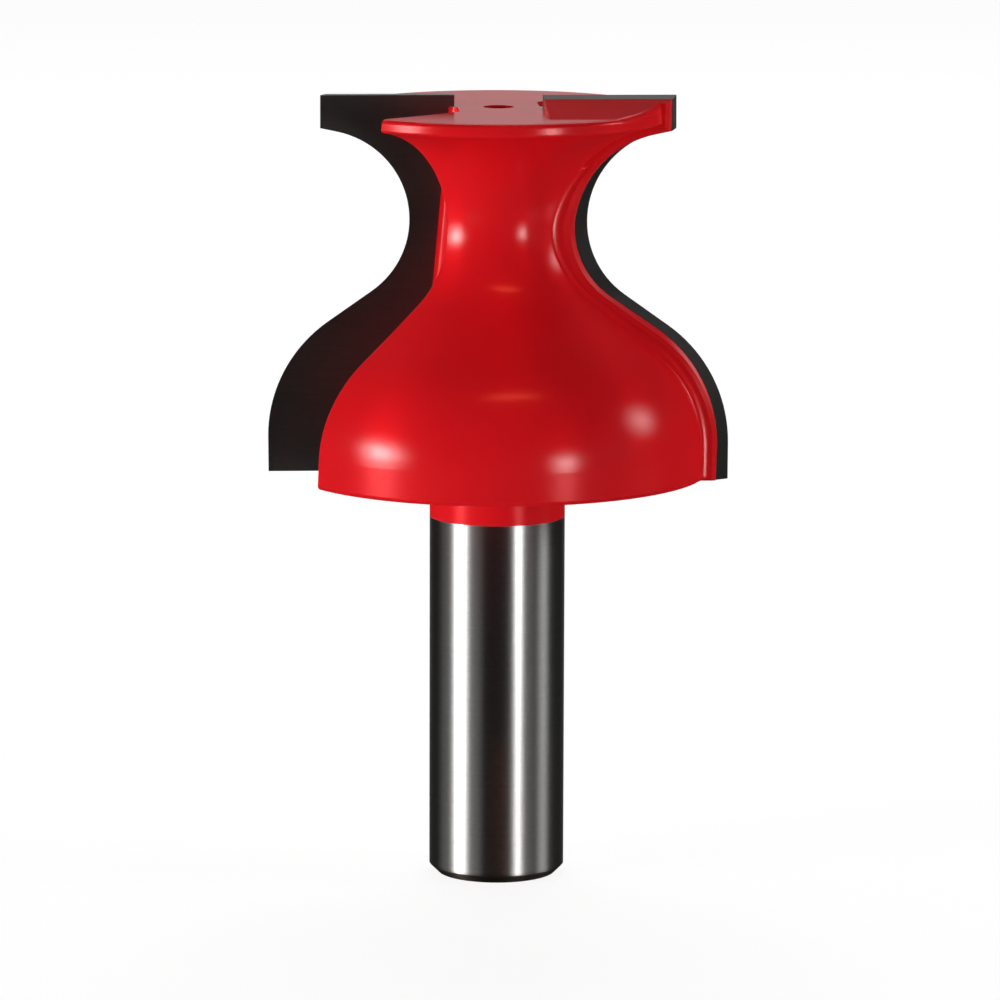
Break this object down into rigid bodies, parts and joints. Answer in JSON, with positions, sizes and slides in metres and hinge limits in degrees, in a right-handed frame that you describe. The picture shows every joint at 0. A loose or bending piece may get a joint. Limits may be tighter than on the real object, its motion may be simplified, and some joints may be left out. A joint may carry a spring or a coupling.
{
  "type": "router bit",
  "caption": "Two-flute profile router bit with a round shank, an ogee head of lacquered steel and brazed carbide tips with a cove above a bell.",
  "frame": {"origin": "centre of the shank's flat end face, which the bit stands on", "axes": "+Z along the axis of rotation from the shank towards the head, +X towards the right-hand tip"},
  "size_m": [0.0428, 0.0396, 0.0737],
  "materials": {
    "lacquered_steel": "gloss red lacquer on the head and the top of the shank, bare ground steel below",
    "carbide": "ground tungsten carbide, dark"
  },
  "bodies": {
    "root": {"steel_body": "lacquered_steel", "right_carbide_tip": "carbide", "left_carbide_tip": "carbide"}
  },
  "joints": []
}
